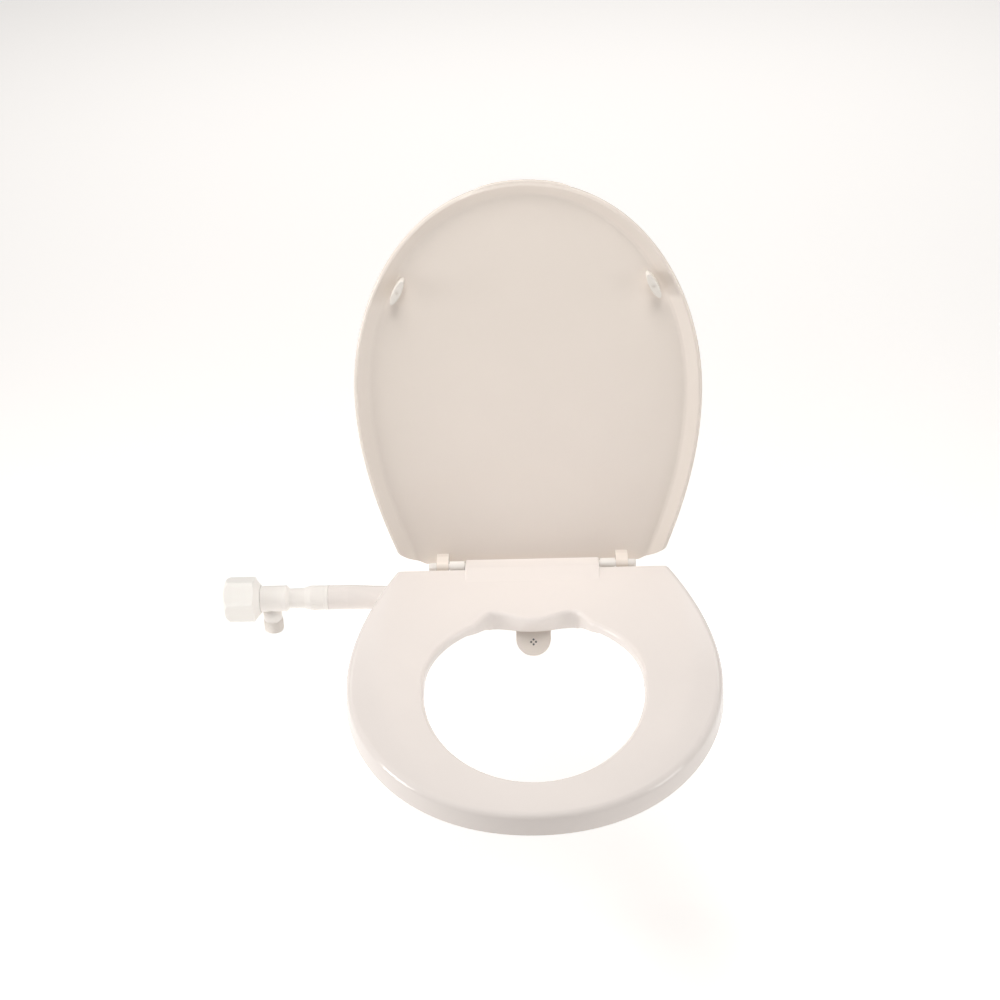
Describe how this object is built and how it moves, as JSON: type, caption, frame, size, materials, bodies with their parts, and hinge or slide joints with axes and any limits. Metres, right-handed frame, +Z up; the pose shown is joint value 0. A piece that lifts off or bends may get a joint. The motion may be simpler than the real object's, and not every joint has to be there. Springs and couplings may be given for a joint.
{
  "type": "bidet toilet seat",
  "caption": "Toilet seat with lid, a water spray nozzle under its rear edge, and a hand valve with a threaded inlet on a swivelling side arm.",
  "frame": {"origin": "midway between the two bowl studs, on the bowl deck", "axes": "+Z up, +Y towards the wall, +X away from the side valve; lid open and seat down"},
  "size_m": [0.5122, 0.4891, 0.494],
  "materials": {
    "seat_plastic": "glossy moulded polypropylene, warm white",
    "lid_plastic": "glossy moulded polypropylene, warm white",
    "hinge_plastic": "glossy white plastic",
    "valve_plastic": "semi-gloss white acetal",
    "knob_plastic": "semi-gloss white plastic",
    "nozzle_plastic": "smooth white plastic",
    "buffer_rubber": "off-white elastomer",
    "rubber": "dark grey EPDM",
    "nylon": "natural nylon",
    "steel": "stainless steel",
    "brass": "machined brass"
  },
  "bodies": {
    "bowl_fixing": {"hinge_posts": "hinge_plastic", "base_pads": "rubber", "hinge_studs": "nylon", "cone_washers": "rubber", "wing_nuts": "nylon", "hinge_pins": "hinge_plastic"},
    "seat": {"seat_shell": "seat_plastic", "rear_cover": "seat_plastic", "cover_screws": "steel", "seat_buffers": "rubber", "side_arm": "seat_plastic", "arm_nut": "nylon", "swivel_ring": "valve_plastic", "pipe_seal": "rubber", "feed_pipe": "nylon", "nozzle_plate": "nozzle_plastic", "nozzle_holder": "nylon", "holder_screws": "steel"},
    "lid": {"lid_shell": "lid_plastic", "lid_buffers": "buffer_rubber"},
    "valve": {"valve_body": "valve_plastic", "neck_o_rings": "rubber", "inlet_spigot": "valve_plastic", "inlet_strainer": "nylon", "check_cage": "nylon", "check_spring": "steel", "bonnet": "nylon", "gland_o_ring": "rubber"},
    "knob": {"knob": "knob_plastic", "spindle": "brass", "knob_screw": "steel", "knob_cap": "knob_plastic"},
    "jumper": {"jumper": "brass", "jumper_washer": "rubber"},
    "poppet": {"check_poppet": "nylon"}
  },
  "joints": [
    {"name": "seat_hinge", "type": "hinge", "parent": "bowl_fixing", "child": "seat", "pos_m": [0, 0, 0.028], "axis": [-1, 0, 0], "range_deg": [0, 96]},
    {"name": "lid_hinge", "type": "hinge", "parent": "bowl_fixing", "child": "lid", "pos_m": [0, 0, 0.028], "axis": [-1, 0, 0], "range_deg": [-97.85, 0]},
    {"name": "valve_swivel", "type": "hinge", "parent": "seat", "child": "valve", "pos_m": [-0.26, -0.038, 0.017], "axis": [1, 0, 0], "range_deg": [-30, 96]},
    {"name": "knob_turn", "type": "hinge", "parent": "valve", "child": "knob", "pos_m": [-0.26, -0.038, 0.017], "axis": [-1, 0, 0], "range_deg": [0, 270]},
    {"name": "jumper_slide", "type": "slide", "parent": "valve", "child": "jumper", "axis": [-1, 0, 0], "range_m": [0, 0.003]},
    {"name": "check_lift", "type": "slide", "parent": "valve", "child": "poppet", "axis": [0, 0, 1], "range_m": [0, 0.002], "stiffness_N_per_m": 50, "springref_m": -0.003, "deforming": ["check_spring"]}
  ],
  "couplings": [
    {"joint": "jumper_slide", "follows": "knob_turn", "m_per_rad": 0.000636}
  ]
}
